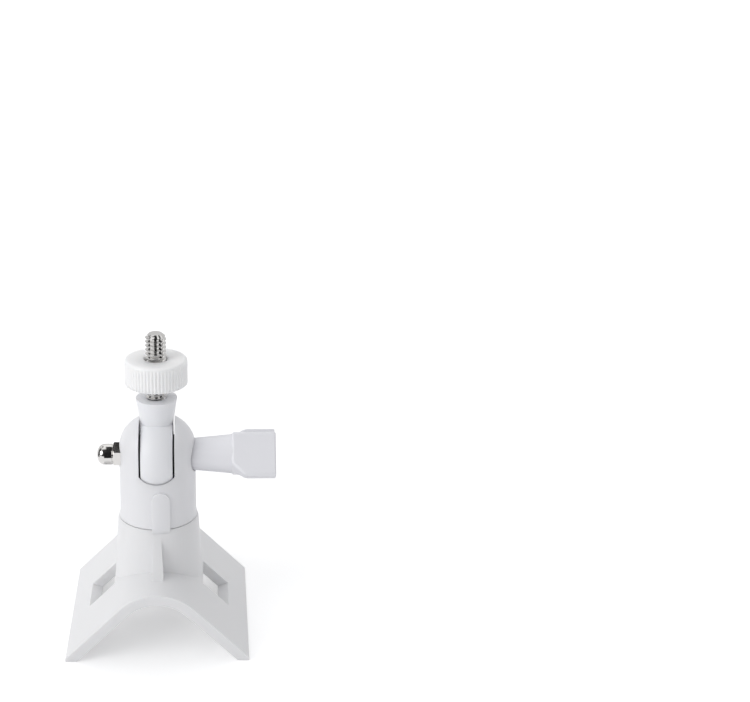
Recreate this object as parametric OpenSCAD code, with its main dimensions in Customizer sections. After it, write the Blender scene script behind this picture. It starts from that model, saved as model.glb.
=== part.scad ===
// Camera pole mount bracket: a vee saddle that is strapped to a pole, a head
// that pans on its collar, and a clamped tilt arm with a camera stud.
// Millimetres. +Z is up, the clamp bolt runs along X with its knob at +X, the
// pole runs along Y, and the origin is on the pan axis, level with the feet.

/* [Saddle] */
// Length of the vee plate along the pole
saddle_depth = 55.5; // [45:0.5:80]
// Width across the outer edges of the two wings
saddle_width = 55.5; // [52:0.5:70]
// Thickness of the vee plate
saddle_wall = 3.2; // [2.4:0.1:3.4]
// Outer radius of the rounded crown of the vee
crown_r = 15.6; // [14:0.1:18]
// Height of the upright trim along each foot
foot_trim = 1.0; // [0.5:0.1:2]

/* [Collar] */
// Radius of the collar just under its chamfer
collar_r = 12.5; // [12.3:0.1:13]
// Radius of the collar where it meets the wings
collar_base_r = 13.6; // [13:0.1:13.7]
// Height of the seam between collar and head above the feet
seam_z = 36.0; // [34:0.2:40]
// Height of the chamfer round the collar's mouth
collar_chamfer = 1.1; // [0.5:0.1:2]
// Depth of the socket that the head's spigot turns in
socket_depth = 7.5; // [5:0.1:8]
// Thickness of the floor between the socket and the screw pocket
socket_floor = 2.8; // [2:0.1:3]

/* [Gusset] */
// How far the rib's top lies below the seam
gusset_drop = 3.2; // [2:0.1:8]
// Reach of the rib's foot from the pan axis
gusset_reach = 18.6; // [15:0.1:22]
// Width of the rib at its top
gusset_top_w = 2.4; // [1.5:0.1:3]
// Width of the rib at its foot
gusset_foot_w = 3.8; // [3.1:0.1:6]

/* [Strap slots] */
// Length of each strap slot along the pole
slot_len = 14; // [10:0.5:24]
// Distance from the pan axis to the slot's inner end
slot_inner_x = 13.8; // [13.8:0.1:14]
// Distance from the pan axis to the slot's outer end
slot_outer_x = 21.8; // [21.2:0.1:23]
// Inward run of the ramp at the slot's outer end
slot_ramp = 3.4; // [2:0.1:3.4]

/* [Head] */
// Radius of the head just above its foot
head_r = 11.75; // [11.6:0.1:12]
// Radius of the head where its dome starts
dome_r = 11.6; // [11.4:0.05:11.6]
// Height of the dome above the tilt axis level where it starts
dome_h = 10; // [9:0.2:12]
// Height of the dome's start above the tilt axis
dome_rise = 3; // [2:0.2:4]
// Height of the tilt axis above the seam
axis_rise = 20; // [19:0.1:24]
// Height of the flare at the head's foot
flare_h = 1.4; // [1:0.1:3]
// Radius of the spigot that turns in the collar
spigot_r = 8; // [6:0.1:9]
// Width of the fork slot between the two ears
fork_w = 10.8; // [10.6:0.1:11.2]

/* [Head rib] */
// Width of the raised rib on the head's front
rib_w = 5.5; // [4:0.1:7]
// Height of the rib's round top above the seam
rib_h = 12.4; // [9:0.1:13]
// Turn of the rib about the pan axis, from the head's front towards the knob
rib_turn = 5.5; // [0:0.5:8]

/* [Tilt arm] */
// Radius of the arm's round knuckle at its middle
knuckle_r = 12.3; // [12.1:0.1:12.5]
// Width of the knuckle between the friction washers
knuckle_w = 9.6; // [9.2:0.1:9.6]
// Radius of the knuckle's crown, seen along the pole
knuckle_crown = 7.9; // [7:0.1:10]
// Radius of the neck where it leaves the knuckle
neck_r = 5.0; // [4.6:0.1:5.1]
// Radius of the neck's rim
neck_top_r = 6.25; // [5.8:0.05:7]
// Height of the neck's rim above the tilt axis
neck_rise = 18.8; // [17:0.1:24]

/* [Camera stud] */
// Major diameter of the quarter inch camera thread
stud_d = 6.35; // [6.3:0.01:6.4]
// Height of the stud's tip above the neck's rim
stud_len = 20.5; // [20:0.1:26]
// Height of the bevel at the stud's tip
stud_tip = 1.1; // [0.6:0.1:1.4]
// How far the shank under the free thread lies below the thread's crests
shank_relief = 0.2; // [0.1:0.05:0.4]
// Radius of the flange that anchors the stud in the arm
anchor_r = 4.2; // [3.8:0.1:4.4]

/* [Lock ring] */
// Outer radius of the lock ring over its ridges
ring_r = 9.45; // [8.5:0.1:11]
// Thickness of the lock ring
ring_h = 8.1; // [5:0.1:9]
// Height of the ring's underside above the neck's rim
ring_gap = 4.5; // [1:0.1:6]
// Number of grip ridges round the ring
ring_ridges = 56; // [40:2:64]
// Depth of the grooves between the ridges
ridge_depth = 0.28; // [0.15:0.01:0.4]
// Width of the ring's edge bevels
ring_bevel = 0.8; // [0.5:0.1:1.2]

/* [Clamp bolt] */
// Diameter of the clamp bolt
bolt_d = 4; // [3.5:0.1:4.4]
// Length of the bolt under its head
bolt_len = 40; // [39:0.5:41]
// Width across the flats of the bolt head and the nut
hex_af = 7; // [6.6:0.1:7.2]
// Height of the bolt head
bolt_head_h = 2.8; // [2:0.1:3.2]

/* [Acorn nut] */
// Height of the nut's hexagon
nut_hex_h = 3.0; // [2.8:0.1:3.6]
// Length of the nut's dome
nut_dome_len = 5.0; // [5:0.1:6]
// Radius of the nut's dome
nut_dome_r = 3.25; // [3:0.05:3.3]

/* [Clamp knob] */
// Radius of the knob's neck at the head
knob_neck_r = 4.9; // [4.7:0.05:5.2]
// Radius of the knob's neck at the grip
knob_neck_end_r = 6.0; // [5.6:0.05:6.2]
// Length of the knob's neck
knob_neck_len = 12.4; // [10:0.1:14]
// Length of the grip
grip_len = 13.4; // [12:0.1:18]
// Radius of the grip's hub
grip_hub_r = 6.3; // [6.2:0.05:6.8]
// Reach of each wing from the bolt's axis
wing_reach = 8.0; // [7.6:0.1:11]
// Distance from the bolt's axis to the flat of each wing
wing_flat = 4.0; // [4:0.1:4.8]
// How far each wing runs past the axis on its hidden side
wing_back = 0.8; // [0.4:0.1:1.6]
// Angle of the wings below the level, towards the front
wing_angle = 42; // [20:1:80]
// Radius of the wings' long edges
wing_edge_r = 1.2; // [0.8:0.1:1.6]
// Length of the bare hub ahead of the wings
wing_setback = 1.4; // [1:0.1:3]

/* [Washers] */
// Outer radius of the washer under the knob
clamp_washer_r = 4.5; // [4:0.1:5]
// Thickness of the washer under the knob
clamp_washer_t = 0.8; // [0.5:0.1:1]
// Outer radius of the friction washers in the fork
friction_washer_r = 6; // [5:0.1:8]
// Thickness of the friction washers
friction_washer_t = 0.5; // [0.4:0.05:0.5]

/* [Pan screw] */
// Diameter of the pan screw
pan_screw_d = 5; // [4:0.1:6]
// Length of the pan screw under its head
pan_screw_len = 16; // [14:0.5:17]
// Radius of the pan screw's head
pan_head_r = 4.75; // [4.2:0.05:5]
// Height of the pan screw's head
pan_head_h = 3.4; // [2.5:0.1:3.7]
// Outer radius of the washer under the spring washer
pan_washer_r = 5; // [4.6:0.1:5.2]
// Thickness of the washer under the spring washer
pan_washer_t = 1.0; // [0.8:0.1:1.2]
// Outer radius of the split spring washer
spring_washer_r = 4.6; // [4.2:0.1:4.8]
// Thickness of the split spring washer
spring_washer_t = 1.2; // [1:0.1:1.4]

/* [Fits] */
// Radial clearance of shafts that turn in a bore
running_clearance = 0.05; // [0.02:0.01:0.1]
// Radial clearance of metal pieces set in the mouldings
insert_clearance = 0.02; // [0.01:0.01:0.05]
// Clearance between flat faces that turn on each other
face_clearance = 0.05; // [0.02:0.01:0.05]
// Clearance between the knuckle and its pocket in the head
pocket_clearance = 0.4; // [0.3:0.05:0.5]
// Depth of the round pocket in the right ear that the knob's washer seats in
washer_seat_depth = 2.2; // [1.2:0.05:2.6]
// Depth of the hexagonal pocket in the left ear that the nut seats in
nut_seat_depth = 1.15; // [1:0.05:1.6]

/* [Hidden] */
$fn = 96;
eps = 0.01;
far = 200;
root2 = sqrt(2);

// The vee: both wings fall at 45 degrees from the apex above the crown
apex_z = saddle_width / 2 + foot_trim;
crown_z = apex_z - crown_r * root2;
crown_top_z = crown_z + crown_r;
wall_drop = saddle_wall * root2;

// Collar and what the pan screw needs in it
socket_z = seam_z - socket_depth;
screw_seat_z = socket_z - socket_floor;
spring_z = screw_seat_z - pan_washer_t;
pan_head_z = spring_z - spring_washer_t;
collar_mouth_r = collar_r - 0.35;
screw_pocket_r = pan_washer_r + 0.5;

// Levels of the head, the arm and what the arm carries
head_z = seam_z + face_clearance;
axis_z = seam_z + axis_rise;
dome_z = axis_z + dome_rise;
neck_top_z = axis_z + neck_rise;
ring_z = neck_top_z + ring_gap;
ring_top_z = ring_z + ring_h;
stud_top_z = neck_top_z + stud_len;
stud_r = stud_d / 2;

// Knuckle pocket, which follows the crowned knuckle at one clearance
pocket_r = knuckle_r + pocket_clearance;
pocket_crown = knuckle_crown + pocket_clearance;

// Stations along the clamp bolt, outwards from the pan axis
bolt_r = bolt_d / 2;
washer_x = dome_r - washer_seat_depth;
nut_x = dome_r - nut_seat_depth;
knob_x = washer_x + clamp_washer_t + face_clearance;
grip_x = knob_x + knob_neck_len;
knob_end_x = grip_x + grip_len;
bolt_head_x = grip_x + 2;
bolt_tip_x = bolt_head_x - bolt_len;
hex_r = hex_af / 2 / cos(30);
washer_seat_r = knob_neck_r + 0.45;

// The stud's free stretch starts clear of the ring, whose mouth is relieved
shank_top_z = ring_top_z + 0.1;
mouth_r = stud_r + 0.5;
mouth_h = 0.6;

// Turns a shape made along +Z so that it lies along +X
module along_x() { rotate([0, 90, 0]) children(); }

// Extrudes an outline drawn in X and Z along Y, centred on y = 0
module across_y(depth) {
    rotate([90, 0, 0]) linear_extrude(height = depth, center = true) children();
}

// Washer with its lower face at z = 0
module washer(outer_r, bore_r, thickness) {
    difference() {
        cylinder(r = outer_r, h = thickness);
        translate([0, 0, -1]) cylinder(r = bore_r, h = thickness + 2);
    }
}

// Region under one face of the vee: its crown is an arc of radius r about the
// crown's axis, and its wings fall at 45 degrees from the arc's two ends
module vee_outline(r) {
    steps = 30;
    polygon(concat(
        [[far, crown_z + r * root2 - far]],
        [for (i = [0 : steps]) let (a = 45 + 90 * i / steps)
            [r * cos(a), crown_z + r * sin(a)]],
        [[-far, crown_z + r * root2 - far]]));
}

// Space under the vee, where the pole lies
module pole_channel() {
    across_y(saddle_depth + 2) vee_outline(crown_r - saddle_wall);
}

module vee_plate() {
    across_y(saddle_depth) intersection() {
        vee_outline(crown_r);
        translate([-saddle_width / 2, 0]) square([saddle_width, far]);
    }
}

// Drafted collar with a chamfered mouth
module collar() {
    rotate_extrude() polygon([
        [0, 0], [collar_base_r, 0], [collar_base_r, crown_z + crown_r / root2],
        [collar_r, seam_z - collar_chamfer], [collar_mouth_r, seam_z], [0, seam_z]]);
}

// Rib that braces the collar against the crown, towards -Y
module gusset() {
    top_z = seam_z - gusset_drop;
    foot_z = crown_top_z;
    root_z = foot_z - 2;
    slope = (gusset_reach - collar_r) / (top_z - foot_z);
    root_reach = gusset_reach + slope * 2;
    taper = (gusset_foot_w - gusset_top_w) / (top_z - foot_z);
    root_w = gusset_foot_w + taper * 2;
    intersection() {
        rotate([90, 0, 90]) linear_extrude(height = root_w + 2, center = true)
            polygon([[-root_reach, root_z], [0, root_z], [0, top_z], [-collar_r, top_z]]);
        rotate([90, 0, 0]) linear_extrude(height = far)
            polygon([[-root_w / 2, root_z], [root_w / 2, root_z],
                     [gusset_top_w / 2, top_z], [-gusset_top_w / 2, top_z]]);
    }
}

// Through slot for a strap in the +X wing, with a ramp at its outer end
module strap_slot() {
    top = apex_z - slot_outer_x;
    low_x = slot_outer_x - slot_ramp;
    low = apex_z - wall_drop - low_x;
    across_y(slot_len) polygon([
        [slot_inner_x, apex_z], [slot_outer_x, apex_z], [slot_outer_x, top],
        [low_x, low], [low_x, 0], [slot_inner_x, 0]]);
}

module pole_saddle() {
    color("white") difference() {
        union() {
            vee_plate();
            collar();
            gusset();
            mirror([0, 1, 0]) gusset();
        }
        pole_channel();
        strap_slot();
        mirror([1, 0, 0]) strap_slot();
        translate([0, 0, socket_z])
            cylinder(r = spigot_r + running_clearance, h = socket_depth + 1);
        cylinder(r = pan_screw_d / 2 + running_clearance, h = seam_z);
        cylinder(r = screw_pocket_r, h = screw_seat_z);
    }
}

// Cross-recessed pan head screw, head down, that holds the head on the collar
module pan_screw() {
    recess = pan_head_r * 0.9;
    color("silver") difference() {
        union() {
            translate([0, 0, pan_head_z]) cylinder(d = pan_screw_d, h = pan_screw_len);
            translate([0, 0, pan_head_z - pan_head_h]) rotate_extrude() {
                translate([0, pan_head_h / 2]) square([pan_head_r, pan_head_h / 2]);
                intersection() {
                    translate([pan_head_r - pan_head_h / 2, pan_head_h / 2])
                        circle(r = pan_head_h / 2);
                    square([pan_head_r, pan_head_h]);
                }
                square([pan_head_r - pan_head_h / 2, pan_head_h]);
            }
        }
        for (turn = [0, 90])
            translate([0, 0, pan_head_z - pan_head_h]) rotate([0, 0, turn])
                cube([recess, 0.9, 3.2], center = true);
    }
}

module pan_washer() {
    color("silver") translate([0, 0, spring_z])
        washer(pan_washer_r, pan_screw_d / 2 + running_clearance, pan_washer_t);
}

// Split spring washer, shown pressed flat by the screw
module pan_spring_washer() {
    color("gray") difference() {
        translate([0, 0, pan_head_z])
            washer(spring_washer_r, pan_screw_d / 2 + running_clearance, spring_washer_t);
        translate([pan_screw_d, 0, pan_head_z + spring_washer_t / 2]) rotate([25, 0, 0])
            cube([pan_screw_d + 2, 0.5, 3 * spring_washer_t], center = true);
    }
}

// Outline of the head from its axis, with the dome as a quarter of an ellipse
module head_outline() {
    steps = 24;
    polygon(concat(
        [[0, head_z], [collar_mouth_r, head_z], [head_r, head_z + flare_h]],
        [for (i = [0 : steps]) let (a = 90 * i / steps)
            [dome_r * cos(a), dome_z + dome_h * sin(a)]]));
}

// Round body with a crown, turned about X: the knuckle and the pocket for it
module crowned_disc(r, crown, width) {
    along_x() rotate_extrude() intersection() {
        translate([0, -width / 2]) square([r, width]);
        union() {
            translate([0, -width / 2]) square([r - crown, width]);
            translate([r - crown, 0]) circle(r = crown);
        }
    }
}

// Raised rib down the head's front, flush with the collar below the seam
module head_rib() {
    foot_z = seam_z - collar_chamfer;
    difference() {
        intersection() {
            translate([0, 0, foot_z]) cylinder(r = collar_r, h = far);
            rotate([90, 0, 0]) linear_extrude(height = far) {
                translate([-rib_w / 2, foot_z])
                    square([rib_w, rib_h + seam_z - foot_z - rib_w / 2]);
                translate([0, seam_z + rib_h - rib_w / 2]) circle(d = rib_w);
            }
            translate([-far, -far, 0]) cube([2 * far, far - head_r + 1, far]);
        }
        translate([0, 0, foot_z - eps])
            cylinder(r1 = collar_r + face_clearance, r2 = collar_mouth_r + face_clearance,
                     h = collar_chamfer + eps);
        translate([0, 0, seam_z - eps])
            cylinder(r = collar_mouth_r - 1, h = face_clearance + eps);
    }
}

module swivel_head() {
    bore_r = bolt_r + running_clearance;
    color("white") difference() {
        union() {
            rotate_extrude() head_outline();
            rotate([0, 0, rib_turn]) head_rib();
            translate([0, 0, socket_z + face_clearance])
                cylinder(r = spigot_r, h = socket_depth);
        }
        translate([0, 0, axis_z]) {
            crowned_disc(pocket_r, pocket_crown, fork_w);
            translate([-fork_w / 2, -far, 0]) cube([fork_w, 2 * far, far]);
            along_x() cylinder(r = bore_r, h = 4 * head_r, center = true);
            translate([washer_x, 0, 0]) along_x() cylinder(r = washer_seat_r, h = head_r);
            translate([-nut_x - head_r, 0, 0]) along_x()
                cylinder(r = hex_r + insert_clearance, h = head_r, $fn = 6);
        }
        translate([0, 0, pan_head_z])
            cylinder(r = pan_screw_d / 2 + insert_clearance, h = pan_screw_len + 0.5);
    }
}

module friction_washer(side) {
    gap = (fork_w / 2 - knuckle_w / 2 - friction_washer_t) / 2;
    low_x = side > 0 ? knuckle_w / 2 + gap : -fork_w / 2 + gap;
    color("dimgray") translate([low_x, 0, axis_z]) along_x()
        washer(friction_washer_r, bolt_r + running_clearance, friction_washer_t);
}

module friction_washer_left() { friction_washer(-1); }

module friction_washer_right() { friction_washer(1); }

// Knuckle with a flared neck that holds the camera stud
module tilt_arm() {
    neck_foot = knuckle_r - 4.3;
    flare = (neck_top_r - neck_r) / (neck_rise - knuckle_r + 1.6);
    foot_r = neck_top_r - flare * (neck_rise - neck_foot);
    color("white") difference() {
        translate([0, 0, axis_z]) union() {
            crowned_disc(knuckle_r, knuckle_crown, knuckle_w);
            translate([0, 0, neck_foot])
                cylinder(r1 = foot_r, r2 = neck_top_r, h = neck_rise - neck_foot);
        }
        translate([0, 0, axis_z]) along_x()
            cylinder(r = bolt_r + running_clearance, h = 2 * knuckle_w, center = true);
        stud_body(insert_clearance);
    }
}

// The stud's shank and anchor flange, grown by the clearance for its hole
module stud_body(grow) {
    anchor_z = axis_z + bolt_r + 4;
    translate([0, 0, anchor_z - grow]) cylinder(r = anchor_r + grow, h = 2 + 2 * grow);
    translate([0, 0, anchor_z])
        cylinder(r = stud_r - shank_relief + grow, h = shank_top_z + 1 - anchor_z);
}

module camera_stud() {
    color("silver") {
        stud_body(0);
        translate([0, 0, shank_top_z])
            cylinder(r = stud_r, h = stud_top_z - stud_tip - shank_top_z);
        translate([0, 0, stud_top_z - stud_tip])
            cylinder(r1 = stud_r, r2 = stud_r - stud_tip, h = stud_tip);
    }
}

// Ring outline with one ridge and one groove for every two points
module ridged_outline() {
    polygon([for (i = [0 : 2 * ring_ridges - 1])
        let (a = 180 * i / ring_ridges, r = ring_r - (i % 2) * ridge_depth)
            [r * cos(a), r * sin(a)]]);
}

module lock_ring() {
    color("white") translate([0, 0, ring_z]) difference() {
        intersection() {
            linear_extrude(height = ring_h) ridged_outline();
            rotate_extrude() polygon([
                [0, 0], [ring_r - ring_bevel, 0], [ring_r + 1, ring_bevel + 1],
                [ring_r + 1, ring_h - ring_bevel - 1], [ring_r - ring_bevel, ring_h],
                [0, ring_h]]);
        }
        translate([0, 0, -1]) cylinder(r = stud_r + running_clearance, h = ring_h + 2);
        translate([0, 0, ring_h - mouth_h])
            cylinder(r = mouth_r, h = mouth_h + 1);
    }
}

// Hexagon along +X from x = 0, with its outer corners turned off
module hex_blank(height, bevel_far_end) {
    corner = hex_r - hex_af / 2;
    along_x() intersection() {
        cylinder(r = hex_r, h = height, $fn = 6);
        rotate_extrude() polygon(bevel_far_end
            ? [[0, 0], [hex_r, 0], [hex_r, height - corner * 0.6],
               [hex_af / 2, height], [0, height]]
            : [[0, 0], [hex_r, 0], [hex_r, height], [0, height]]);
    }
}

// Closed nut in the hexagonal pocket of the left ear, its dome towards -X
module acorn_nut() {
    shank = nut_dome_len - nut_dome_r;
    color("silver") translate([-nut_x, 0, axis_z]) mirror([1, 0, 0]) difference() {
        union() {
            hex_blank(nut_hex_h, true);
            along_x() rotate_extrude() {
                square([nut_dome_r, nut_hex_h + shank]);
                intersection() {
                    translate([0, nut_hex_h + shank]) circle(r = nut_dome_r);
                    square([nut_dome_r, far]);
                }
            }
        }
        translate([-1, 0, 0]) along_x() cylinder(
            r = bolt_r + running_clearance, h = 1 - bolt_tip_x - nut_x + 0.6);
    }
}

module clamp_washer() {
    color("silver") translate([washer_x, 0, axis_z]) along_x()
        washer(clamp_washer_r, bolt_r + running_clearance, clamp_washer_t);
}

// Hexagon bolt moulded into the knob, its shank towards -X
module clamp_bolt() {
    color("silver") translate([0, 0, axis_z]) {
        translate([bolt_tip_x, 0, 0]) along_x() cylinder(r = bolt_r, h = bolt_len);
        translate([bolt_head_x, 0, 0]) hex_blank(bolt_head_h, false);
    }
}

// Plate of one wing in its own axes: X along the bolt, Y outwards, Z off its flat
module wing_plate() {
    rise = wing_reach - grip_hub_r + 2.4;
    thick = wing_flat + wing_back;
    intersection() {
        linear_extrude(height = 2 * far, center = true) polygon([
            [wing_setback, 0], [wing_setback, wing_reach - rise],
            [wing_setback + rise, wing_reach], [grip_len, wing_reach], [grip_len, 0]]);
        rotate([90, 0, 90]) linear_extrude(height = grip_len) translate([0, -wing_back]) {
            square([wing_reach - wing_edge_r, thick]);
            translate([0, wing_edge_r]) square([wing_reach, thick - 2 * wing_edge_r]);
            for (edge = [wing_edge_r, thick - wing_edge_r])
                translate([wing_reach - wing_edge_r, edge]) circle(r = wing_edge_r);
        }
    }
}

// Hub of the grip, cut flat on both sides behind its bare front stretch
module grip_hub() {
    intersection() {
        along_x() cylinder(r = grip_hub_r, h = grip_len);
        union() {
            translate([0, -far, -far]) cube([wing_setback, 2 * far, 2 * far]);
            translate([0, -far, -wing_flat]) cube([grip_len, 2 * far, 2 * wing_flat]);
        }
    }
}

// Knob with a drafted neck and two offset wings, moulded round the bolt's head
module clamp_knob() {
    color("white") translate([0, 0, axis_z]) difference() {
        union() {
            translate([knob_x, 0, 0]) along_x()
                cylinder(r1 = knob_neck_r, r2 = knob_neck_end_r, h = knob_neck_len);
            translate([grip_x, 0, 0]) for (half_turn = [0, 180])
                rotate([180 + wing_angle + half_turn, 0, 0]) mirror([0, 0, 1]) wing_plate();
            translate([grip_x, 0, 0]) rotate([wing_angle, 0, 0]) grip_hub();
        }
        translate([knob_x - 1, 0, 0]) along_x()
            cylinder(r = bolt_r + insert_clearance, h = bolt_head_x - knob_x + 2);
        translate([bolt_head_x - insert_clearance, 0, 0]) along_x()
            cylinder(r = hex_r + insert_clearance, h = bolt_head_h + 2 * insert_clearance,
                     $fn = 6);
    }
}

pole_saddle();
pan_screw();
pan_washer();
pan_spring_washer();
swivel_head();
friction_washer_left();
friction_washer_right();
tilt_arm();
camera_stud();
lock_ring();
acorn_nut();
clamp_washer();
clamp_bolt();
clamp_knob();
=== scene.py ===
"""Looks of the camera pole mount bracket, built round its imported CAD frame.

Lengths are metres in the CAD's own frame: +Z runs up the pan axis and the
camera stud, +X runs along the clamp bolt towards its knob, and the pole runs
along Y. Values given in millimetres are turned into metres by MM.
"""

import logging
import math
from collections.abc import Callable
from dataclasses import dataclass
from enum import Enum

import bmesh
import bpy
from mathutils import Matrix, Vector


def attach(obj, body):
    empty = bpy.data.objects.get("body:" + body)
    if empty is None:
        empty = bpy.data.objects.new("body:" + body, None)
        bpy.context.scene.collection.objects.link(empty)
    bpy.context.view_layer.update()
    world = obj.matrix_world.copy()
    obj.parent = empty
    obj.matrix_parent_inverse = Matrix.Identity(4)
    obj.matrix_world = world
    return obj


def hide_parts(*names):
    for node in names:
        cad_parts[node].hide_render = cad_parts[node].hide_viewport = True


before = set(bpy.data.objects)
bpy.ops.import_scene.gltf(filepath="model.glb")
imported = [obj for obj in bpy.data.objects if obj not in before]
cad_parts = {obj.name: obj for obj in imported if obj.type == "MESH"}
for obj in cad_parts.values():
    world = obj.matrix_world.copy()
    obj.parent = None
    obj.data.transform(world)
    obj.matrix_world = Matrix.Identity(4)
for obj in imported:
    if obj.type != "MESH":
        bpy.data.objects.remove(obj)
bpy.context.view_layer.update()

MM = 0.001
WELD = 2e-6
SLIVER = 0.02 * MM
FLAT = math.radians(0.4)
EASED_FROM = math.radians(28)
EASE_SHARE = 0.45
NEAR = 1e-3
AXIS_Z = 56.0
BOLT_BORE = 2.05
log = logging.getLogger("bracket")

Colour = tuple[float, float, float]
Triple = tuple[float, float, float]
Pair = tuple[float, float]
Profile = list[Pair]
BMesh = bmesh.types.BMesh
Socket = bpy.types.NodeSocket


class Body(str, Enum):
    """The CAD's rigid bodies."""

    SADDLE = "saddle"
    HEAD = "head"
    ARM = "arm"
    RING = "ring"
    WASHER = "washer"
    KNOB = "knob"


class Slot(str, Enum):
    """The record's material slots."""

    WHITE = "white_plastic"
    ARM = "arm_plastic"
    KNOB = "knob_plastic"
    RING = "ring_plastic"
    STUD = "nickel_stud"
    NUT = "bright_nickel"
    ZINC = "zinc_steel"
    SPRING = "spring_steel"
    FIBRE = "friction_rubber"


class Along(Enum):
    """Where a piece made along +Z points once it is in place."""

    UP = 0
    KNOB_SIDE = 90
    NUT_SIDE = -90

    def turn(self) -> Matrix:
        """The turn about Y that lays the piece down."""
        return Matrix.Rotation(math.radians(self.value), 4, "Y")


def bare_material(name: str) -> tuple[bpy.types.Material, bpy.types.NodeTree, bpy.types.Node]:
    """Makes a material that has only its output node, and gives its tree and that node too."""
    material = bpy.data.materials.new(name)
    material.use_nodes = True
    tree = material.node_tree
    tree.nodes.clear()
    return material, tree, tree.nodes.new("ShaderNodeOutputMaterial")


def joined(tree: bpy.types.NodeTree, kind: str, *sources: Socket, **settings: str) -> Socket:
    """Adds a node that sockets feed.

    Args:
        tree: where the node is added.
        kind: the node's type.
        sources: what feeds its first inputs, in their order.
        settings: the node's own properties.

    Returns:
        The node's first output.
    """
    node = tree.nodes.new(kind)
    for name, value in settings.items():
        setattr(node, name, value)
    for source, target in zip(sources, node.inputs):
        tree.links.new(source, target)
    return node.outputs[0]


class Nodes:
    """A material's node tree, with short calls for what the finishes share."""

    def __init__(self, name: str) -> None:
        """Starts an empty material with a Principled shader and its output.

        Args:
            name: the material's name.
        """
        self.material, self.tree, output = bare_material(name)
        self.shader = self.tree.nodes.new("ShaderNodeBsdfPrincipled")
        self.link(self.shader.outputs[0], output.inputs[0])
        self.object = self.tree.nodes.new("ShaderNodeTexCoord").outputs["Object"]

    def link(self, source: Socket, target: Socket) -> None:
        """Joins two sockets."""
        self.tree.links.new(source, target)

    def stretch(self, scale: Triple) -> Socket:
        """The object's coordinates, scaled on each axis."""
        node = self.tree.nodes.new("ShaderNodeMapping")
        node.inputs["Scale"].default_value = scale
        self.link(self.object, node.inputs["Vector"])
        return node.outputs[0]

    def noise(self, scale: float, detail: float, where: Socket | None = None) -> Socket:
        """Noise between 0 and 1.

        Args:
            scale: waves per metre.
            detail: octaves of finer noise.
            where: the coordinates, or the object's own where left out.

        Returns:
            The noise's value socket.
        """
        node = self.tree.nodes.new("ShaderNodeTexNoise")
        node.inputs["Scale"].default_value = scale
        node.inputs["Detail"].default_value = detail
        self.link(where or self.object, node.inputs["Vector"])
        return node.outputs["Fac"]

    def spread(self, value: Socket, low: float, high: float) -> Socket:
        """Maps the middle of a noise onto low to high.

        Args:
            value: the noise.
            low: what 0.3 becomes.
            high: what 0.7 becomes.

        Returns:
            The mapped value socket.
        """
        node = self.tree.nodes.new("ShaderNodeMapRange")
        for name, number in (("From Min", 0.3), ("From Max", 0.7), ("To Min", low), ("To Max", high)):
            node.inputs[name].default_value = number
        self.link(value, node.inputs["Value"])
        return node.outputs["Result"]

    def tint(self, value: Socket, dark: Colour, light: Colour) -> Socket:
        """A colour between two, by a value from 0 to 1."""
        node = self.tree.nodes.new("ShaderNodeMix")
        node.data_type = "RGBA"
        node.inputs["A"].default_value = (*dark, 1)
        node.inputs["B"].default_value = (*light, 1)
        self.link(value, node.inputs["Factor"])
        return node.outputs["Result"]

    def bump(self, height: Socket, depth: float, under: Socket | None = None) -> Socket:
        """Relief of a given depth in metres, laid over an earlier relief."""
        node = self.tree.nodes.new("ShaderNodeBump")
        node.inputs["Distance"].default_value = depth
        self.link(height, node.inputs["Height"])
        if under is not None:
            self.link(under, node.inputs["Normal"])
        return node.outputs["Normal"]

    def set(self, **values: float | Colour) -> None:
        """Sets the shader's own sockets, with underscores for the spaces in their names."""
        for name, value in values.items():
            self.shader.inputs[name.replace("_", " ")].default_value = value

    def feed(self, **sockets: Socket) -> None:
        """Links sockets to the shader, named as in set."""
        for name, socket in sockets.items():
            self.link(socket, self.shader.inputs[name.replace("_", " ")])


@dataclass(frozen=True)
class MouldedPlastic:
    """Satin white moulding: soft flow shading, slight waviness and a fine eroded grain.

    Depth is the share of the light that goes into the plastic and comes out again nearby.
    """

    name: str
    colour: Colour
    roughness: float = 0.42
    depth: float = 0.35
    grain: float = 0.000004
    waviness: float = 0.00002
    scatter: float = 0.0016

    def material(self) -> bpy.types.Material:
        """Builds the finish."""
        nodes = Nodes(self.name)
        flow = nodes.noise(scale=45, detail=3)
        fine = nodes.noise(scale=2600, detail=2)
        shade = tuple(c * 0.985 for c in self.colour)
        relief = nodes.bump(nodes.noise(scale=140, detail=2), self.waviness)
        nodes.set(
            IOR=1.53, Subsurface_Weight=self.depth, Subsurface_Scale=self.scatter,
            Subsurface_Radius=(1.0, 0.97, 0.93),
        )
        nodes.feed(
            Base_Color=nodes.tint(flow, shade, self.colour),
            Roughness=nodes.spread(fine, self.roughness - 0.05, self.roughness + 0.05),
            Normal=nodes.bump(fine, self.grain, relief),
        )
        return nodes.material


@dataclass(frozen=True)
class PlatedMetal:
    """Plated steel with drawn streaks along one axis and a slight cloudiness."""

    name: str
    colour: Colour
    roughness: float
    streaks: Triple = (900, 900, 120)
    relief: float = 0.000002

    def material(self) -> bpy.types.Material:
        """Builds the finish."""
        nodes = Nodes(self.name)
        streak = nodes.noise(scale=1, detail=3, where=nodes.stretch(self.streaks))
        cloud = nodes.noise(scale=260, detail=4)
        shade = tuple(c * 0.86 for c in self.colour)
        nodes.set(Metallic=1.0)
        nodes.feed(
            Base_Color=nodes.tint(cloud, shade, self.colour),
            Roughness=nodes.spread(streak, self.roughness * 0.7, self.roughness * 1.35),
            Normal=nodes.bump(streak, self.relief),
        )
        return nodes.material


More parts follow.
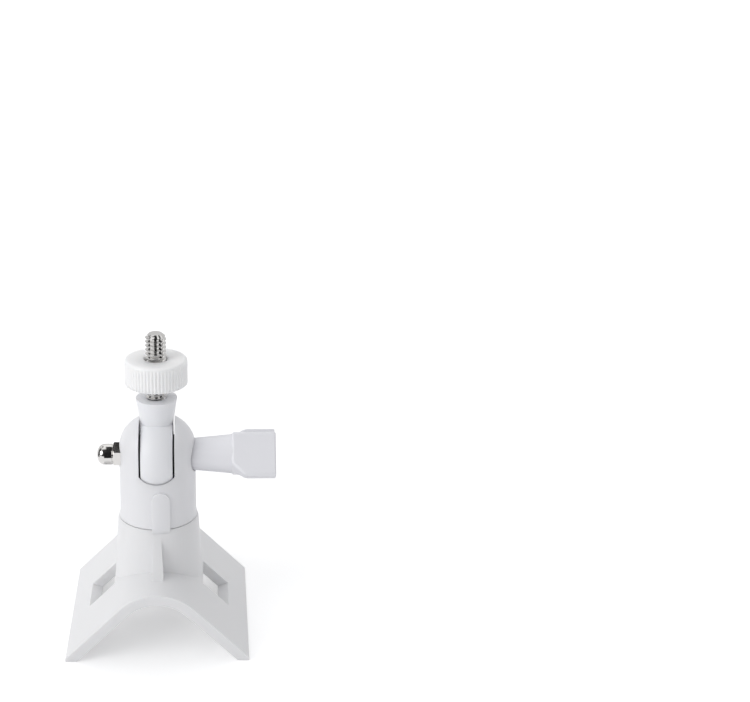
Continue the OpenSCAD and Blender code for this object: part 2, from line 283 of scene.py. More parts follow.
@dataclass(frozen=True)
class PressedFibre:
    """Dark pressed fibre, flecked and matt."""

    name: str
    colour: Colour
    roughness: float = 0.85
    relief: float = 0.00002

    def material(self) -> bpy.types.Material:
        """Builds the finish."""
        nodes = Nodes(self.name)
        fleck = nodes.noise(scale=2200, detail=5)
        light = tuple(min(1, c * 1.9) for c in self.colour)
        nodes.set(Roughness=self.roughness)
        nodes.feed(
            Base_Color=nodes.tint(nodes.spread(fleck, 0, 1), self.colour, light),
            Normal=nodes.bump(fleck, self.relief),
        )
        return nodes.material


class Finish(Enum):
    """Every finish on the bracket."""

    SADDLE = MouldedPlastic("saddle_moulding", (0.81, 0.81, 0.82))
    HEAD = MouldedPlastic("head_moulding", (0.82, 0.82, 0.84), roughness=0.4)
    ARM = MouldedPlastic("arm_moulding", (0.86, 0.865, 0.89), roughness=0.4)
    KNOB = MouldedPlastic("knob_moulding", (0.82, 0.82, 0.855), roughness=0.38, depth=0.0)
    RING = MouldedPlastic("ring_moulding", (0.96, 0.96, 0.965), roughness=0.45)
    STUD = PlatedMetal("stud_nickel", (0.68, 0.67, 0.66), roughness=0.1)
    NUT = PlatedMetal("nut_nickel", (0.72, 0.705, 0.69), roughness=0.09, streaks=(60, 400, 400))
    ZINC = PlatedMetal("zinc_plate", (0.66, 0.67, 0.69), roughness=0.3)
    SPRING = PlatedMetal("spring_steel_finish", (0.33, 0.33, 0.36), roughness=0.38)
    FIBRE = PressedFibre("fibre_washer_finish", (0.06, 0.055, 0.05))

    def material(self) -> bpy.types.Material:
        """The finish's material, built once."""
        return bpy.data.materials.get(self.value.name) or self.value.material()


@dataclass
class Piece:
    """One finished piece and what it stands for."""

    name: str
    node: str
    body: Body
    slot: Slot
    finish: Finish
    sharp_deg: float = 38.0

    def settle(self, bm: BMesh, along: Along = Along.UP, at: Triple = (0, 0, 0)) -> bpy.types.Object:
        """Turns a bmesh into the piece, in place of its CAD node.

        Args:
            bm: the piece's shape in millimetres, made along +Z; it is used up.
            along: where +Z goes.
            at: where the shape's origin goes, in millimetres.

        Returns:
            The new object.
        """
        bmesh.ops.remove_doubles(bm, verts=bm.verts, dist=WELD / MM)
        bmesh.ops.recalc_face_normals(bm, faces=bm.faces)
        bm.transform(Matrix.Scale(MM, 4) @ Matrix.Translation(at) @ along.turn())
        return self.take(bm)

    def take(self, bm: BMesh) -> bpy.types.Object:
        """Makes the object from a bmesh that is already in place, in metres."""
        limit = math.radians(self.sharp_deg)
        for face in bm.faces:
            face.smooth = True
        for edge in bm.edges:
            edge.smooth = len(edge.link_faces) == 2 and edge.calc_face_angle(0) < limit
        made = placed(self.name, bm)
        made.data.materials.append(self.finish.material())
        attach(made, self.body.value)
        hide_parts(self.node)
        log.info("%s: %d faces", self.name, len(made.data.polygons))
        return made


def placed(name: str, bm: BMesh) -> bpy.types.Object:
    """Makes a mesh object from a bmesh, which is used up, and puts it in the scene."""
    mesh = bpy.data.meshes.new(name)
    bm.to_mesh(mesh)
    bm.free()
    made = bpy.data.objects.new(name, mesh)
    bpy.context.scene.collection.objects.link(made)
    return made


def whole(bm: BMesh) -> list:
    """All the verts, edges and faces of a shape."""
    return list(bm.verts) + list(bm.edges) + list(bm.faces)


def verts_of(geom: list) -> list[bmesh.types.BMVert]:
    """The verts among what a bmesh operator gives back."""
    return [g for g in geom if isinstance(g, bmesh.types.BMVert)]


def edges_of(geom: list) -> list[bmesh.types.BMEdge]:
    """The edges among what a bmesh operator gives back."""
    return [g for g in geom if isinstance(g, bmesh.types.BMEdge)]


def drawn_in(vert: bmesh.types.BMVert, share: float) -> None:
    """Scales a vert's distance from the Z axis."""
    vert.co.x *= share
    vert.co.y *= share


def polyline(bm: BMesh, points: Profile, closed: bool) -> list:
    """Draws a profile in the XZ plane.

    Args:
        bm: where it is drawn.
        points: distance from the axis and height of each corner.
        closed: whether the last corner joins the first.

    Returns:
        The profile's verts and edges.
    """
    verts = [bm.verts.new((x, 0, z)) for x, z in points]
    pairs = list(zip(verts, verts[1:]))
    if closed:
        pairs.append((verts[-1], verts[0]))
    return verts + [bm.edges.new(pair) for pair in pairs]


def turned(bm: BMesh, points: Profile, steps: int = 72, closed: bool = True) -> None:
    """Spins a profile a full turn about Z.

    Args:
        bm: where the shape is made.
        points: the profile, as for polyline; corners on the axis close the pole.
        steps: facets round the axis.
        closed: whether the profile is a loop, as of a ring.
    """
    geom = polyline(bm, points, closed)
    bmesh.ops.spin(
        bm, geom=geom, cent=(0, 0, 0), axis=(0, 0, 1), dvec=(0, 0, 0),
        angle=math.tau, steps=steps, use_merge=True, use_duplicate=False,
    )
    bmesh.ops.remove_doubles(bm, verts=bm.verts, dist=WELD / MM)


def eased(points: Profile, radius: float, steps: int = 4) -> Profile:
    """Rounds every corner of a closed profile.

    Args:
        points: the profile's corners.
        radius: how far from the corner the rounding starts.
        steps: facets of each rounding, which has one point more.

    Returns:
        The rounded profile.
    """
    made = []
    for i, corner in enumerate(points):
        here = Vector(corner)
        back, ahead = Vector(points[i - 1]) - here, Vector(points[(i + 1) % len(points)]) - here
        reach = min(radius, back.length * EASE_SHARE, ahead.length * EASE_SHARE)
        start, end = here + back.normalized() * reach, here + ahead.normalized() * reach
        for k in range(steps + 1):
            t = k / steps
            made.append(tuple(start * (1 - t) ** 2 + here * 2 * t * (1 - t) + end * t * t))
    return made


def washer_section(bore: float, radius: float, low: float, high: float, ease: float, steps: int = 4) -> Profile:
    """The section of a washer between two radii and two heights, with its corners eased."""
    return eased([(bore, low), (radius, low), (radius, high), (bore, high)], ease, steps)


def capped(bm: BMesh, height: float, keep_below: bool) -> None:
    """Cuts a shape flat at a height and closes the cut.

    Args:
        bm: the shape.
        height: level of the cut.
        keep_below: whether what lies below the cut stays.
    """
    bmesh.ops.bisect_plane(
        bm, geom=whole(bm), dist=1e-5, plane_co=(0, 0, height), plane_no=(0, 0, 1),
        clear_outer=keep_below, clear_inner=not keep_below,
    )
    rim = [e for e in bm.edges if e.is_boundary and all(abs(v.co.z - height) < NEAR for v in e.verts)]
    bmesh.ops.holes_fill(bm, edges=rim, sides=0)


def step_out(bm: BMesh, rim: list, move: Callable[[Vector], Vector], height: float) -> list:
    """Extrudes an open rim to a new outline and height.

    Args:
        bm: the shape.
        rim: the open rim's edges.
        move: where a point of the rim goes in plan.
        height: the new rim's height.

    Returns:
        The new rim's edges.
    """
    geom = bmesh.ops.extrude_edge_only(bm, edges=rim)["geom"]
    for vert in verts_of(geom):
        plan = move(Vector((vert.co.x, vert.co.y, 0)))
        vert.co = (plan.x, plan.y, height)
    return edges_of(geom)


def step_round(bm: BMesh, rim: list, radius: float, height: float) -> list:
    """Extrudes an open rim to a circle, as step_out does."""
    return step_out(bm, rim, lambda co: co * (radius / math.hypot(co.x, co.y)), height)


@dataclass(frozen=True)
class Thread:
    """A rolled right-hand thread about Z, in millimetres."""

    radius: float
    pitch: float
    start: float
    end: float
    chamfer: float
    steps: int = 40
    slope: float = 1.3
    depth: float = 0.6

    def profile(self) -> Profile:
        """One pitch of the thread, from root to root, with its crest rounded."""
        root = self.radius - self.depth * self.pitch
        shares = ((0, -0.5), (0, -0.4), (0.08, -0.36), (0.9, -0.1), (0.985, -0.055), (1, 0))
        half = [(root + (self.radius - root) * r, self.pitch * z) for r, z in shares]
        return half + [(r, -z) for r, z in reversed(half[:-1])]

    def cut(self, bm: BMesh, limit: Callable[[float], float]) -> None:
        """Makes the threaded rod, closed at both ends and chamfered at its upper end.

        Args:
            bm: where it is made; it is empty.
            limit: the largest radius allowed at a height, for runouts.
        """
        low = self.start - self.pitch
        geom = polyline(bm, [(r, low + z) for r, z in self.profile()], False)
        bmesh.ops.spin(
            bm, geom=geom, cent=(0, 0, 0), axis=(0, 0, 1), dvec=(0, 0, self.pitch / self.steps),
            angle=math.tau, steps=self.steps, use_merge=False, use_duplicate=False,
        )
        made = self.pitch
        while low + made < self.end + self.pitch:
            copy = bmesh.ops.duplicate(bm, geom=whole(bm))["geom"]
            bmesh.ops.translate(bm, verts=verts_of(copy), vec=(0, 0, made))
            made *= 2
        bmesh.ops.remove_doubles(bm, verts=bm.verts, dist=WELD / MM)
        capped(bm, self.start, False)
        capped(bm, self.end, True)
        for vert in bm.verts:
            reach = math.hypot(vert.co.x, vert.co.y)
            above = max(0, vert.co.z - (self.end - self.chamfer))
            most = min(limit(vert.co.z), self.radius - self.slope * above)
            if reach > most:
                drawn_in(vert, most / reach)


def moulded(piece: Piece, radius: float, shape: Callable[[BMesh], None] | None = None) -> None:
    """Copies a CAD moulding and eases its edges as a mould does.

    Args:
        piece: the piece to make from its CAD node.
        radius: the edges' rounding, in millimetres.
        shape: a last change to the copy before its edges are eased.
    """
    bm = bmesh.new()
    bm.from_mesh(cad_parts[piece.node].data)
    bmesh.ops.remove_doubles(bm, verts=bm.verts, dist=WELD)
    bmesh.ops.dissolve_limit(bm, angle_limit=FLAT, verts=bm.verts, edges=bm.edges, delimit=set())
    bmesh.ops.dissolve_degenerate(bm, edges=bm.edges, dist=SLIVER)
    if shape is not None:
        shape(bm)
    bmesh.ops.recalc_face_normals(bm, faces=bm.faces)
    ease = piece.take(bm).modifiers.new("eased_edges", "BEVEL")
    ease.width = radius * MM
    ease.segments = 3
    ease.limit_method = "ANGLE"
    ease.angle_limit = EASED_FROM
    ease.use_clamp_overlap = True
    ease.harden_normals = True


@dataclass
class Saddle:
    """The vee saddle with its collar."""

    edge: float = 0.4

    def build(self) -> None:
        """Makes the saddle's moulding."""
        moulded(Piece("saddle_body", "pole_saddle", Body.SADDLE, Slot.WHITE, Finish.SADDLE), self.edge)


@dataclass
class Head:
    """The swivel head with its nut, washers and pan screw."""

    edge: float = 0.24
    seam_z: float = 36.0
    seam_gap: float = 0.3
    seam_depth: float = 0.9
    collar_mouth: float = 12.15
    friction_x: float = 5.1
    friction_radius: float = 6.0
    friction_half: float = 0.25

    def build(self) -> None:
        """Makes the head's moulding and its hardware."""
        body = Piece("head_body", "swivel_head", Body.HEAD, Slot.WHITE, Finish.HEAD)
        moulded(body, self.edge, self.open_seam)
        AcornNut().build()
        self.friction_washers()
        PanScrew().build()

    def open_seam(self, bm: BMesh) -> None:
        """Undercuts the head's foot, so that a fine shadow line runs round the seam beside the rib.

        Args:
            bm: the head's copy, in metres.
        """
        level = (self.seam_z + self.seam_gap) * MM
        near_mouth, near_seam = 0.06, 0.12
        bmesh.ops.bisect_plane(bm, geom=whole(bm), dist=1e-8, plane_co=(0, 0, level), plane_no=(0, 0, 1))
        for vert in bm.verts:
            reach = math.hypot(vert.co.x, vert.co.y)
            at_mouth = abs(reach / MM - self.collar_mouth) < near_mouth
            if at_mouth and abs(vert.co.z / MM - self.seam_z) < near_seam:
                drawn_in(vert, 1 - self.seam_depth * MM / reach)

    def friction_washers(self) -> None:
        """Makes the two fibre washers that fill the fork's gaps."""
        thick = self.friction_half
        for side, middle in (("left", -self.friction_x), ("right", self.friction_x)):
            bm = bmesh.new()
            turned(bm, washer_section(BOLT_BORE, self.friction_radius, -thick, thick, ease=0.08, steps=2))
            names = f"fibre_washer_{side}", f"friction_washer_{side}"
            Piece(*names, Body.HEAD, Slot.FIBRE, Finish.FIBRE).settle(bm, Along.KNOB_SIDE, (middle, 0, AXIS_Z))


@dataclass
class AcornNut:
    """The closed nut on the left ear: chamfered hexagon, neck line and polished dome."""

    seat_x: float = 10.45
    flats: float = 7.0
    land: float = 0.04
    foot: float = 0.12
    foot_growth: float = 1.036
    hexagon: float = 3.0
    chamfer_deg: float = 32.0
    dome_radius: float = 3.25
    dome_length: float = 5.0
    dome_crown: float = 2.7
    dome_power: float = 0.86

    def build(self) -> None:
        """Makes the nut, from its foot up to the dome's tip."""
        bm = bmesh.new()
        flat, top = self.flats / 2, self.hexagon
        for vert in bmesh.ops.create_circle(bm, cap_ends=True, radius=1, segments=72)["verts"]:
            wedge = math.atan2(vert.co.y, vert.co.x) % (math.pi / 3) - math.pi / 6
            vert.co *= (flat - self.foot) / math.cos(wedge)
        rim = [e for e in bm.edges if e.is_boundary]
        rim = step_out(bm, rim, lambda co: co * self.foot_growth, self.foot)
        rim = step_out(bm, rim, lambda co: co, top)
        for vert in {v for e in rim for v in e.verts}:
            beyond = max(0, math.hypot(vert.co.x, vert.co.y) - flat)
            vert.co.z -= beyond * math.tan(math.radians(self.chamfer_deg))
        for radius, height in self.neck(flat - self.land, top) + self.dome(top + self.dome_length):
            rim = step_round(bm, rim, radius, height)
        closed = bmesh.ops.extrude_edge_only(bm, edges=rim)["geom"]
        for vert in verts_of(closed):
            vert.co = (0, 0, top + self.dome_length)
        Piece("closed_nut", "acorn_nut", Body.HEAD, Slot.NUT, Finish.NUT, sharp_deg=24).settle(
            bm, Along.NUT_SIDE, (-self.seat_x, 0, AXIS_Z))

    def neck(self, start: float, top: float) -> Profile:
        """The fine groove between the hexagon and the dome.

        Args:
            start: radius where the hexagon's chamfer ends.
            top: the hexagon's height.
        """
        r = self.dome_radius
        return [(start, top), (r + 0.02, top), (r - 0.14, top + 0.05), (r - 0.14, top + 0.22),
                (r - 0.02, top + 0.34), (r, top + 0.5)]

    def dome(self, tip: float) -> Profile:
        """The dome's crown, a little fuller than a round one.

        Args:
            tip: the dome's height.
        """
        angles = [math.radians(5 * k) for k in range(18)]
        return [(self.dome_radius * math.cos(a) ** self.dome_power,
                 tip - self.dome_crown + self.dome_crown * math.sin(a) ** self.dome_power) for a in angles]


@dataclass
class PanScrew:
    """The screw that holds the head on the collar, with its flat and spring washers."""

    seat_z: float = 23.5
    radius: float = 2.5
    pitch: float = 0.8
    length: float = 16.0
    head_radius: float = 4.75
    head_height: float = 3.4
    cross_half: float = 0.55
    cross_reach: float = 2.1
    cross_depth: float = 2.2
    cross_draft: float = 0.62
    face_radius: float = 2.6
    split_deg: float = 8.0

    def build(self) -> None:
        """Makes the screw and both washers."""
        self.screw()
        self.flat_washer()
        self.spring_washer()

    def screw(self) -> None:
        """Makes the screw: threaded shank, round head and cross recess."""
        bm = bmesh.new()
        seat, tall = self.seat_z, self.head_height
        shank = Thread(self.radius, self.pitch, seat + 0.4, seat + self.length, chamfer=0.5)
        shank.cut(bm, lambda z: self.radius)
        half, reach = self.cross_half, self.cross_reach
        outline = []
        for quarter in range(4):
            turn = Matrix.Rotation(-quarter * math.pi / 2, 2)
            outline += [turn @ Vector(p) for p in ((half, reach), (half, half), (reach, half))]
        inner = [bm.verts.new((p.x, p.y, seat - tall)) for p in outline]
        loop = [bm.edges.new((inner[i - 1], inner[i])) for i in range(len(inner))]
        rim = bmesh.ops.create_circle(bm, cap_ends=False, radius=self.face_radius, segments=48)["verts"]
        for vert in rim:
            vert.co.z = seat - tall
        edge = list({e for v in rim for e in v.link_edges})
        bmesh.ops.bridge_loops(bm, edges=loop + edge)
        floor = bmesh.ops.extrude_edge_only(bm, edges=loop)["geom"]
        for vert in verts_of(floor):
            drawn_in(vert, self.cross_draft)
            vert.co.z = seat - tall + self.cross_depth
        bmesh.ops.edgenet_fill(bm, edges=edges_of(floor))
        crown = [(3.4, -tall + 0.08), (3.95, -tall + 0.35), (4.4, -tall + 0.8), (4.68, -tall + 1.4),
                 (self.head_radius, -tall + 2.0), (self.head_radius, -0.12), (self.head_radius - 0.12, 0)]
        for radius, height in crown:
            edge = step_round(bm, edge, radius, seat + height)
        bmesh.ops.edgenet_fill(bm, edges=edge)
        Piece("pan_head_screw", "pan_screw", Body.HEAD, Slot.ZINC, Finish.ZINC).settle(bm)

    @staticmethod
    def flat_washer() -> None:
        """Makes the flat washer above the spring washer."""
        bm = bmesh.new()
        turned(bm, washer_section(bore=2.55, radius=5.0, low=24.7, high=25.7, ease=0.15))
        Piece("flat_washer", "pan_washer", Body.HEAD, Slot.ZINC, Finish.ZINC).settle(bm)

    def spring_washer(self) -> None:
        """Makes the split spring washer on the screw's head."""
        bm = bmesh.new()
        section = washer_section(bore=2.58, radius=4.58, low=23.52, high=24.66, ease=0.12)
        geom = polyline(bm, section, True)
        start = bmesh.ops.edgenet_fill(bm, edges=edges_of(geom))["faces"]
        bmesh.ops.spin(
            bm, geom=start, cent=(0, 0, 0), axis=(0, 0, 1), dvec=(0, 0, 0),
            angle=math.radians(360 - self.split_deg), steps=60, use_merge=False, use_duplicate=False,
        )
        Piece("split_washer", "pan_spring_washer", Body.HEAD, Slot.SPRING, Finish.SPRING).settle(bm)


@dataclass
class Arm:
    """The tilt arm and the camera stud moulded into it."""

    edge: float = 0.22
    neck_top: float = 74.8
    stud_radius: float = 3.175
    stud_pitch: float = 1.27
    stud_top: float = 95.3
    buried_radius: float = 2.97
    anchor_z: float = 62.0
    anchor_radius: float = 4.2

    def build(self) -> None:
        """Makes the arm's moulding and its stud, whose flange lies inside the arm."""
        moulded(Piece("arm_body", "tilt_arm", Body.ARM, Slot.ARM, Finish.ARM), self.edge)
        bm = bmesh.new()
        low, wide = self.anchor_z, self.anchor_radius
        thread = Thread(self.stud_radius, self.stud_pitch, low + 1, self.stud_top, chamfer=0.9, steps=48)
        thread.cut(bm, lambda z: self.buried_radius if z < self.neck_top + 0.02 else self.stud_radius)
        turned(bm, [(0, low), (wide - 0.2, low), (wide, low + 0.2), (wide, low + 1.8), (wide - 0.2, low + 2),
                    (0, low + 2)], closed=False)
        Piece("threaded_stud", "camera_stud", Body.ARM, Slot.STUD, Finish.STUD, sharp_deg=30).settle(bm)


@dataclass
class LockRing:
    """The ridged ring that locks the camera on its stud."""

    radius: float = 9.45
    low: float = 79.3
    high: float = 87.4
    bore: float = 3.225
    crown: float = 0.9
    ridges: int = 56
    depth: float = 0.3
    sharpness: float = 1.6
    skin: float = 0.45
    fade_end: float = 0.75
    fade_length: float = 0.5
    samples: int = 10

    def profile(self) -> Profile:
        """The ring's section, counter-clockwise from the bore's foot."""
        low, high, r, crown = self.low, self.high, self.radius, self.crown
        top = [(r - 0.02 - crown * (1 - math.cos(a)), high - crown + crown * math.sin(a))
               for a in (math.radians(15 * k) for k in range(1, 6))]
        side = [(r, low + 0.42 + (high - low - 1.4) * k / 6) for k in range(7)]
        foot = [(self.bore, low + 0.3), (self.bore + 0.3, low), (r - 0.75, low), (r - 0.3, low + 0.1)]
        mouth = [(self.bore + 0.75, high), (self.bore + 0.45, high - 0.12), (self.bore, high - 0.6)]
        return [*foot, *side, *top, (r - 1.1, high), *mouth]

    def build(self) -> None:
        """Spins the ring and presses its ridges into the side."""
        bm = bmesh.new()
        turned(bm, self.profile(), self.ridges * self.samples)
        for vert in bm.verts:
            reach = math.hypot(vert.co.x, vert.co.y)
            if reach < self.radius - self.skin:
                continue
            wave = 0.5 - 0.5 * math.cos(self.ridges * math.atan2(vert.co.y, vert.co.x))
            fade = min(1, max(0, (self.high - self.fade_end - vert.co.z) / self.fade_length))
            drawn_in(vert, 1 - self.depth * fade * wave ** self.sharpness / reach)
        Piece("ridged_ring", "lock_ring", Body.RING, Slot.RING, Finish.RING, sharp_deg=50).settle(bm)


@dataclass
class Clamp:
    """The clamp knob, the bolt moulded into it and the washer under it."""

    knob_x: float = 10.25
    grip_x: float = 22.65
    knob_end: float = 36.05
    hub_start: float = 15.0
    grip_side: float = 5.8
    wing_angle: float = 56.0
    wing_reach: float = 8.1
    wing_face: float = 6.2
    wing_back: float = 1.6
    wing_foot: float = 6.15
    wing_cut: float = 4.4
    bolt_radius: float = 2.0
    bolt_pitch: float = 0.7
    bolt_tip: float = -15.35
    head_x: float = 24.65
    head_radius: float = 4.04
    head_height: float = 2.8
    washer_x: float = 9.4

    def build(self) -> None:
        """Makes the knob, its bolt and its washer."""
        self.knob()
        self.bolt()
        bm = bmesh.new()
        turned(bm, washer_section(BOLT_BORE, radius=4.5, low=0, high=0.8, ease=0.12))
        Piece("knob_washer", "clamp_washer", Body.WASHER, Slot.ZINC, Finish.ZINC).settle(
            bm, Along.KNOB_SIDE, (self.washer_x, 0, AXIS_Z))

    def knob(self) -> None:
        """Makes the knob from its grip and its drafted neck, which runs on inside the grip."""
        bm = self.grip()
        hub = bmesh.new()
        neck, grip, inside = self.knob_x, self.grip_x, self.knob_end - 0.4
        turned(hub, [(0, self.hub_start), (BOLT_BORE, self.hub_start), (BOLT_BORE, neck), (4.55, neck),
                     (4.8, neck + 0.1), (4.9, neck + 0.35), (5.98, grip - 0.4), (6.06, grip), (6.1, grip + 0.3),
                     (6.1, inside), (0, inside)], closed=False)
        spare = bpy.data.meshes.new("knob_hub")
        hub.to_mesh(spare)
        hub.free()
        bm.from_mesh(spare)
        bpy.data.meshes.remove(spare)
        Piece("knob_body", "clamp_knob", Body.KNOB, Slot.KNOB, Finish.KNOB, sharp_deg=30).settle(
            bm, Along.KNOB_SIDE, (0, 0, AXIS_Z))

    def grip(self) -> BMesh:
        """Makes the grip, with two offset wings whose starts slope back from the neck.

        The outline has four eased corners and their point mirrors; the two corners that only lead
        into it and out of it are dropped.

        Returns:
            The grip in millimetres, where the knob has it, with +Z along the bolt.
        """
        bm = bmesh.new()
        steps, ease = 4, 1.3
        corner = steps + 1
        side, reach, face = self.grip_side, self.wing_reach, self.wing_face
        back, foot, root = self.wing_back, self.wing_foot, self.wing_reach - self.wing_cut
        half = eased([(-side, -face), (-side, face), (reach, face), (reach, back), (foot, back), (foot, -back)],
                     ease, steps)[corner:-corner]
        half.insert(corner, (root, face))
        loop = [bm.verts.new((u, -w, 0)) for u, w in half + [(-u, -w) for u, w in half]]
        grown = bmesh.ops.extrude_face_region(bm, geom=[bm.faces.new(loop)])["geom"]
        length = self.knob_end - self.grip_x
        bmesh.ops.translate(bm, verts=verts_of(grown), vec=(0, 0, length))
        for start in (0, len(half)):
            wing = loop[start + corner:start + len(half) - corner // 2]
            bmesh.ops.connect_vert_pair(bm, verts=[wing[0], wing[-1]])
            for vert in wing[1:-1]:
                base = root + (face - abs(vert.co.y)) / (face - back) * (foot - root)
                vert.co.z = self.wing_cut * max(0, abs(vert.co.x) - base) / (reach - base)
        bmesh.ops.recalc_face_normals(bm, faces=bm.faces)
        self.ease_grip(bm, length)
        turn = Matrix.Rotation(math.radians(self.wing_angle - 90), 3, "Z")
        bmesh.ops.rotate(bm, verts=bm.verts, cent=(0, 0, 0), matrix=turn)
        bmesh.ops.translate(bm, verts=bm.verts, vec=(0, 0, self.grip_x))
        return bm

    def ease_grip(self, bm: BMesh, length: float) -> None:
        """Rounds the rims at the grip's two ends and gives its broad faces a fine hem.

        Args:
            bm: the grip, standing on its start.
            length: the grip's length.
        """
        ends = {f for f in bm.faces if len({abs(v.co.z - length) < NEAR for v in f.verts}) == 1}
        for low, high, offset in ((-1, self.wing_cut + 0.1, 0.75), (length - 0.01, length + 1, 0.5)):
            rim = [e for e in bm.edges if sum(f in ends for f in e.link_faces) == 1
                   and all(low < v.co.z < high for v in e.verts)]
            bmesh.ops.bevel(
                bm, geom=rim, offset=offset, affect="EDGES", segments=4, profile=0.5, material=-1,
                clamp_overlap=True,
            )
        broad, hem = 6, 0.05
        faces = [f for f in bm.faces if f.calc_area() > broad]
        bmesh.ops.inset_individual(bm, faces=faces, thickness=hem, use_even_offset=True)

    def bolt(self) -> None:
        """Makes the bolt, whose head is moulded into the knob."""
        bm = bmesh.new()
        start, tall = -self.head_x, self.head_height
        shank = Thread(self.bolt_radius, self.bolt_pitch, start, -self.bolt_tip, chamfer=0.45, steps=36)
        shank.cut(bm, lambda z: self.bolt_radius)
        place = Matrix.Translation((0, 0, start - tall / 2)) @ Matrix.Rotation(math.pi / 6, 4, "Z")
        hexagon = bmesh.ops.create_cone(
            bm, cap_ends=True, segments=6, radius1=self.head_radius, radius2=self.head_radius, depth=tall,
            matrix=place)["verts"]
        bmesh.ops.bevel(
            bm, geom=list({e for v in hexagon for e in v.link_edges}), offset=0.15, affect="EDGES",
            segments=2, profile=0.5, material=-1,
        )
        Piece("knob_bolt", "clamp_bolt", Body.KNOB, Slot.ZINC, Finish.ZINC).settle(
            bm, Along.NUT_SIDE, (0, 0, AXIS_Z))


@dataclass
class Studio:
    """Pale floor, soft light, cards that the metal mirrors, and the camera."""

    camera_at: Triple = (15.719, -406.627, 242.455)
    right: Triple = (0.99959, -0.02775, 0.00708)
    up: Triple = (0.00341, 0.36083, 0.93263)
    lens: float = 69.94
    sensor: float = 36.0
    shift: Pair = (0.16667, 0.01867)
    clip: Pair = (0.02, 20)
    floor_radius: float = 6.0
    floor_colour: Colour = (0.86, 0.86, 0.865)
    floor_glow: float = 0.35
    world_colour: Colour = (0.985, 0.99, 1)
    world_light: float = 0.62
    dark_side: float = 0.06
    dark_until: float = -0.35
    pale_from: float = -0.02
    card_away: float = 0.17
    card_tall: float = 0.22
    ceiling_z: float = 0.3

    def build(self) -> None:
        """Sets up the whole studio."""
        self.floor()
        self.world()
        self.lamp("left_softbox", side=(-0.78, -0.45, 0.44), spread=40, power=1.1)
        self.lamp("top_softbox", side=(0, 0.5, 1), spread=70, power=0.4)
        self.card("front_card", bearing=0, width=0.11, grey=0.02)
        self.card("right_card", bearing=64, width=0.1, grey=0.04)
        self.card("left_card", bearing=-100, width=0.1, grey=0.12)
        self.ceiling("middle_flag", low=(-0.036, -0.3), high=(0.034, 0.1), grey=0.03)
        self.ceiling("right_flag", low=(0.07, 0.01), high=(0.125, 0.16), grey=0.04)
        self.ceiling("left_flag", low=(-0.165, 0.07), high=(-0.1, 0.22), grey=0.1)
        self.camera()
        bpy.context.scene.view_settings.view_transform = "Standard"

    def floor(self) -> None:
        """Lays the floor, which glows to the camera and to mirrors and is clear from below."""
        bm = bmesh.new()
        bmesh.ops.create_circle(bm, cap_ends=True, radius=self.floor_radius, segments=64)
        made = placed("floor", bm)
        material, tree, output = bare_material("floor_finish")
        matt = tree.nodes.new("ShaderNodeBsdfDiffuse")
        matt.inputs["Color"].default_value = (*self.floor_colour, 1)
        scale = tree.nodes.new("ShaderNodeMath")
        scale.operation = "MULTIPLY"
        scale.inputs[1].default_value = self.floor_glow
        tree.links.new(self.seen(tree, tree.nodes.new("ShaderNodeLightPath")), scale.inputs[0])
        glow = tree.nodes.new("ShaderNodeEmission")
        tree.links.new(scale.outputs[0], glow.inputs["Strength"])
        both = joined(tree, "ShaderNodeAddShader", matt.outputs[0], glow.outputs[0])
        clear = tree.nodes.new("ShaderNodeBsdfTransparent").outputs[0]
        below = tree.nodes.new("ShaderNodeNewGeometry").outputs["Backfacing"]
        tree.links.new(joined(tree, "ShaderNodeMixShader", below, both, clear), output.inputs[0])
        made.data.materials.append(material)

    @staticmethod
    def seen(tree: bpy.types.NodeTree, path: bpy.types.Node) -> Socket:
        """1 for what the camera, a mirror or glass looks at, and 0 for light on the object."""
        last = path.outputs["Is Camera Ray"]
        for name in ("Is Glossy Ray", "Is Transmission Ray"):
            last = joined(tree, "ShaderNodeMath", last, path.outputs[name], operation="MAXIMUM")
        return last

    def world(self) -> None:
        """Makes the world: white to the camera and a plain soft light on matt faces.

        What shines mirrors a pale room with a dark side where the camera stands.
        """
        world = bpy.data.worlds.new("studio_world")
        bpy.context.scene.world = world
        world.use_nodes = True
        tree = world.node_tree
        tree.nodes.clear()
        output = tree.nodes.new("ShaderNodeOutputWorld")
        light = tree.nodes.new("ShaderNodeBackground")
        light.inputs["Color"].default_value = (*self.world_colour, 1)
        light.inputs["Strength"].default_value = self.world_light
        white = tree.nodes.new("ShaderNodeBackground")
        white.inputs["Color"].default_value = (1, 1, 1, 1)
        room = tree.nodes.new("ShaderNodeBackground")
        where = tree.nodes.new("ShaderNodeTexCoord").outputs["Generated"]
        split = tree.nodes.new("ShaderNodeSeparateXYZ")
        ramp = tree.nodes.new("ShaderNodeMapRange")
        ramp.interpolation_type = "SMOOTHSTEP"
        limits = {"From Min": self.dark_until, "From Max": self.pale_from, "To Min": self.dark_side, "To Max": 1}
        for name, number in limits.items():
            ramp.inputs[name].default_value = number
        tree.links.new(where, split.inputs[0])
        tree.links.new(split.outputs["Y"], ramp.inputs["Value"])
        tree.links.new(ramp.outputs["Result"], room.inputs["Strength"])
        path = tree.nodes.new("ShaderNodeLightPath")
        glossy = path.outputs["Is Glossy Ray"]
        mirror = joined(tree, "ShaderNodeMixShader", glossy, white.outputs[0], room.outputs[0])
        swap = joined(tree, "ShaderNodeMixShader", self.seen(tree, path), light.outputs[0], mirror)
        tree.links.new(swap, output.inputs[0])

    def lamp(self, name: str, side: Triple, spread: float, power: float) -> None:
        """Hangs a soft light that is as strong everywhere.

        Args:
            name: the lamp's name.
            side: direction it shines from.
            spread: how wide it looks from the bracket, in degrees.
            power: its strength in watts per square metre.
        """
        data = bpy.data.lights.new(name, "SUN")
        data.angle = math.radians(spread)
        data.energy = power
        made = bpy.data.objects.new(name, data)
        made.rotation_euler = Vector(side).to_track_quat("Z", "Y").to_euler()
        bpy.context.scene.collection.objects.link(made)

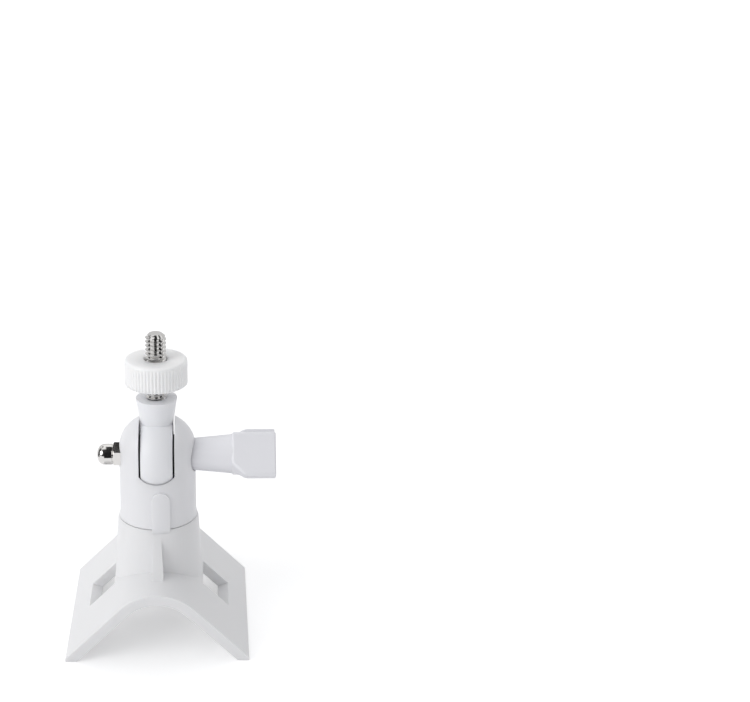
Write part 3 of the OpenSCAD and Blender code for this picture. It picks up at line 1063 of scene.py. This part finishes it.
    def card(self, name: str, bearing: float, width: float, grey: float) -> None:
        """Stands a card round the bracket that only mirrors and gloss see.

        Args:
            name: the card's name.
            bearing: degrees from -Y towards +X.
            width: its width in metres.
            grey: its brightness.
        """
        tall, angle = self.card_tall, math.radians(bearing)
        middle = Vector((math.sin(angle), -math.cos(angle), 0)) * self.card_away + Vector((0, 0, tall / 2))
        self.flag(name, grey, Matrix.Translation(middle) @ Matrix.Rotation(angle, 4, "Z")
                  @ Matrix.Rotation(math.pi / 2, 4, "X") @ Matrix.Diagonal((width, tall, 1, 1)))

    def ceiling(self, name: str, low: Pair, high: Pair, grey: float) -> None:
        """Hangs a level card over the bracket that only mirrors and gloss see.

        Args:
            name: the card's name.
            low: its lowest x and y, in metres.
            high: its highest x and y.
            grey: its brightness.
        """
        middle = Vector(((low[0] + high[0]) / 2, (low[1] + high[1]) / 2, self.ceiling_z))
        size = Matrix.Diagonal((high[0] - low[0], high[1] - low[1], 1, 1))
        self.flag(name, grey, Matrix.Translation(middle) @ size)

    def flag(self, name: str, grey: float, place: Matrix) -> None:
        """Makes one card from a square of a metre, seen by glossy rays alone.

        Args:
            name: the card's name.
            grey: its brightness.
            place: where the square goes.
        """
        bm = bmesh.new()
        bmesh.ops.create_grid(bm, x_segments=1, y_segments=1, size=0.5)
        bm.transform(place)
        made = placed(name, bm)
        for ray in ("camera", "diffuse", "transmission", "volume_scatter", "shadow"):
            setattr(made, f"visible_{ray}", False)
        material, tree, output = bare_material(name + "_finish")
        glow = tree.nodes.new("ShaderNodeEmission")
        glow.inputs["Color"].default_value = (grey, grey, grey, 1)
        tree.links.new(glow.outputs[0], output.inputs[0])
        made.data.materials.append(material)

    def camera(self) -> None:
        """Stands the camera where the photograph was taken from."""
        data = bpy.data.cameras.new("camera")
        data.lens = self.lens
        data.sensor_width = self.sensor
        data.shift_x, data.shift_y = self.shift
        data.clip_start, data.clip_end = self.clip
        made = bpy.data.objects.new("camera", data)
        right, up = Vector(self.right).normalized(), Vector(self.up)
        back = right.cross(up).normalized()
        turn = Matrix((right, back.cross(right), back)).transposed().to_4x4()
        made.matrix_world = Matrix.Translation(Vector(self.camera_at) * MM) @ turn
        bpy.context.scene.collection.objects.link(made)
        bpy.context.scene.camera = made


def main() -> None:
    """Builds every sub-assembly and the studio."""
    logging.basicConfig(level=logging.INFO, format="%(relativeCreated)d %(name)s %(message)s")
    for part in (Saddle(), Head(), Arm(), LockRing(), Clamp(), Studio()):
        part.build()


if __name__ == "__main__":
    main()
